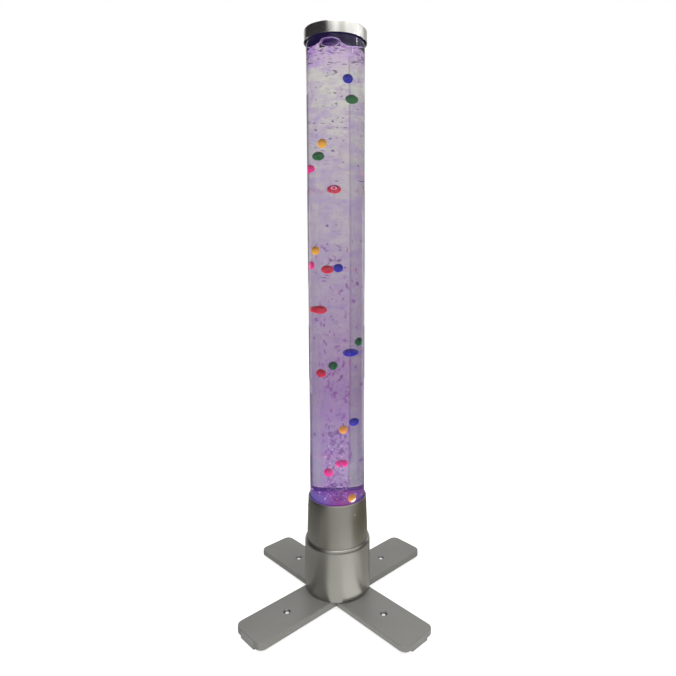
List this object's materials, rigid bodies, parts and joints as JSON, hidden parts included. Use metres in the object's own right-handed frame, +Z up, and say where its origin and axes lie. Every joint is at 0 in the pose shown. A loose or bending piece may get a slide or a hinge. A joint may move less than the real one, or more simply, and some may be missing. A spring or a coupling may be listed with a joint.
{
  "type": "bubble tube floor lamp",
  "caption": "Tall clear bubble tube with floating coloured balls, on a silver base housing with a cross foot, topped by a flat lift-off cap.",
  "frame": {"origin": "on the floor under the middle of the tube", "axes": "+Z up along the tube; the leg bars run along the diagonals of X and Y; the power inlet and the button are at the back, towards +Y"},
  "size_m": [0.3258, 0.3258, 1.008],
  "materials": {
    "brushed_leg": "satin brushed",
    "brushed_housing": "satin brushed",
    "plated_steel": "zinc plated",
    "screw_steel": "bright plated",
    "core_steel": "dark, bare",
    "coil_copper": "lacquered winding",
    "pad_rubber": "matt grey",
    "seal_rubber": "matt black",
    "hose": "soft silicone",
    "cable_sheath": "matt black",
    "board_green": "lacquered",
    "board_white": "lacquered",
    "led_lens": "clear lens",
    "dark_plastic": "matt black",
    "white_plastic": "moulded",
    "button_plastic": "moulded",
    "valve_plastic": "translucent blue",
    "clear_tube": "clear acrylic",
    "opal_plate": "opal acrylic",
    "ball_blue": "glossy",
    "ball_green": "glossy",
    "ball_amber": "glossy",
    "ball_pink": "glossy",
    "ball_red": "glossy"
  },
  "bodies": {
    "lamp": {"upper_leg_bar": "brushed_leg", "lower_leg_bar": "brushed_leg", "foot_pads": "pad_rubber", "base_pan": "plated_steel", "post_screws": "plated_steel", "lower_posts": "plated_steel", "upper_posts": "plated_steel", "base_housing": "brushed_housing", "upper_sleeve": "brushed_housing", "shell_screws": "screw_steel", "control_board": "board_green", "board_parts": "dark_plastic", "power_inlet": "dark_plastic", "carrier_plate": "plated_steel", "tube_seat": "white_plastic", "led_board": "board_white", "leds": "led_lens", "tube": "clear_tube", "tube_base_plate": "opal_plate", "air_nozzle": "dark_plastic", "nozzle_seal": "seal_rubber", "nozzle_nut": "plated_steel", "upper_air_hose": "hose", "lower_air_hose": "hose", "check_valve_body": "valve_plastic", "pump_case": "dark_plastic", "pump_cover": "dark_plastic", "pump_feet": "seal_rubber", "pump_core": "core_steel", "pump_coil": "coil_copper", "pump_valve_block": "white_plastic", "wiring": "cable_sheath"},
    "cap": {"cap_shell": "brushed_housing", "cap_liner": "dark_plastic", "cap_seal": "seal_rubber"},
    "ball_blue_1": {"ball_blue_1": "ball_blue"},
    "ball_blue_2": {"ball_blue_2": "ball_blue"},
    "ball_blue_3": {"ball_blue_3": "ball_blue"},
    "ball_blue_4": {"ball_blue_4": "ball_blue"},
    "ball_green_1": {"ball_green_1": "ball_green"},
    "ball_green_2": {"ball_green_2": "ball_green"},
    "ball_green_3": {"ball_green_3": "ball_green"},
    "ball_green_4": {"ball_green_4": "ball_green"},
    "ball_amber_1": {"ball_amber_1": "ball_amber"},
    "ball_amber_2": {"ball_amber_2": "ball_amber"},
    "ball_amber_3": {"ball_amber_3": "ball_amber"},
    "ball_amber_4": {"ball_amber_4": "ball_amber"},
    "ball_pink_1": {"ball_pink_1": "ball_pink"},
    "ball_pink_2": {"ball_pink_2": "ball_pink"},
    "ball_pink_3": {"ball_pink_3": "ball_pink"},
    "ball_pink_4": {"ball_pink_4": "ball_pink"},
    "ball_red_1": {"ball_red_1": "ball_red"},
    "ball_red_2": {"ball_red_2": "ball_red"},
    "ball_red_3": {"ball_red_3": "ball_red"},
    "ball_red_4": {"ball_red_4": "ball_red"},
    "button": {"push_button": "button_plastic"},
    "pump_rocker": {"pump_arm": "plated_steel", "pump_magnet": "core_steel", "pump_diaphragm": "seal_rubber"},
    "poppet": {"check_valve_poppet": "seal_rubber"}
  },
  "joints": [
    {"name": "cap_lift", "type": "slide", "parent": "lamp", "child": "cap", "axis": [0, 0, 1], "range_m": [0, 0.06]},
    {"name": "ball_blue_1_float", "type": "slide", "parent": "lamp", "child": "ball_blue_1", "axis": [0, 0, 1], "range_m": [-0.7293, 0.0343]},
    {"name": "ball_blue_2_float", "type": "slide", "parent": "lamp", "child": "ball_blue_2", "axis": [0, 0, 1], "range_m": [-0.4162, 0.3474]},
    {"name": "ball_blue_3_float", "type": "slide", "parent": "lamp", "child": "ball_blue_3", "axis": [0, 0, 1], "range_m": [-0.2596, 0.504]},
    {"name": "ball_blue_4_float", "type": "slide", "parent": "lamp", "child": "ball_blue_4", "axis": [0, 0, 1], "range_m": [-0.1374, 0.6262]},
    {"name": "ball_green_1_float", "type": "slide", "parent": "lamp", "child": "ball_green_1", "axis": [0, 0, 1], "range_m": [-0.7026, 0.061]},
    {"name": "ball_green_2_float", "type": "slide", "parent": "lamp", "child": "ball_green_2", "axis": [0, 0, 1], "range_m": [-0.6071, 0.1565]},
    {"name": "ball_green_3_float", "type": "slide", "parent": "lamp", "child": "ball_green_3", "axis": [0, 0, 1], "range_m": [-0.2863, 0.4773]},
    {"name": "ball_green_4_float", "type": "slide", "parent": "lamp", "child": "ball_green_4", "axis": [0, 0, 1], "range_m": [-0.2482, 0.5155]},
    {"name": "ball_amber_1_float", "type": "slide", "parent": "lamp", "child": "ball_amber_1", "axis": [0, 0, 1], "range_m": [-0.6224, 0.1412]},
    {"name": "ball_amber_2_float", "type": "slide", "parent": "lamp", "child": "ball_amber_2", "axis": [0, 0, 1], "range_m": [-0.446, 0.3177]},
    {"name": "ball_amber_3_float", "type": "slide", "parent": "lamp", "child": "ball_amber_3", "axis": [0, 0, 1], "range_m": [-0.1336, 0.63]},
    {"name": "ball_amber_4_float", "type": "slide", "parent": "lamp", "child": "ball_amber_4", "axis": [0, 0, 1], "range_m": [-0.0038, 0.7598]},
    {"name": "ball_pink_1_float", "type": "slide", "parent": "lamp", "child": "ball_pink_1", "axis": [0, 0, 1], "range_m": [-0.588, 0.1756]},
    {"name": "ball_pink_2_float", "type": "slide", "parent": "lamp", "child": "ball_pink_2", "axis": [0, 0, 1], "range_m": [-0.42, 0.3436]},
    {"name": "ball_pink_3_float", "type": "slide", "parent": "lamp", "child": "ball_pink_3", "axis": [0, 0, 1], "range_m": [-0.0534, 0.7102]},
    {"name": "ball_pink_4_float", "type": "slide", "parent": "lamp", "child": "ball_pink_4", "axis": [0, 0, 1], "range_m": [-0.0496, 0.714]},
    {"name": "ball_red_1_float", "type": "slide", "parent": "lamp", "child": "ball_red_1", "axis": [0, 0, 1], "range_m": [-0.5536, 0.21]},
    {"name": "ball_red_2_float", "type": "slide", "parent": "lamp", "child": "ball_red_2", "axis": [0, 0, 1], "range_m": [-0.4124, 0.3513]},
    {"name": "ball_red_3_float", "type": "slide", "parent": "lamp", "child": "ball_red_3", "axis": [0, 0, 1], "range_m": [-0.339, 0.4246]},
    {"name": "ball_red_4_float", "type": "slide", "parent": "lamp", "child": "ball_red_4", "axis": [0, 0, 1], "range_m": [-0.2291, 0.5346]},
    {"name": "button_press", "type": "slide", "parent": "lamp", "child": "button", "axis": [-0.2588, -0.9659, 0], "range_m": [0, 0.001], "stiffness_N_per_m": 400, "springref_m": -0.0003},
    {"name": "pump_rock", "type": "hinge", "parent": "lamp", "child": "pump_rocker", "pos_m": [0.019, -0.011, 0.038], "axis": [0, 0, 1], "range_deg": [-1.5, 1.5], "stiffness_Nm_per_rad": 0.5},
    {"name": "poppet_lift", "type": "slide", "parent": "lamp", "child": "poppet", "axis": [0, 0, 1], "range_m": [0, 0.0015]}
  ]
}
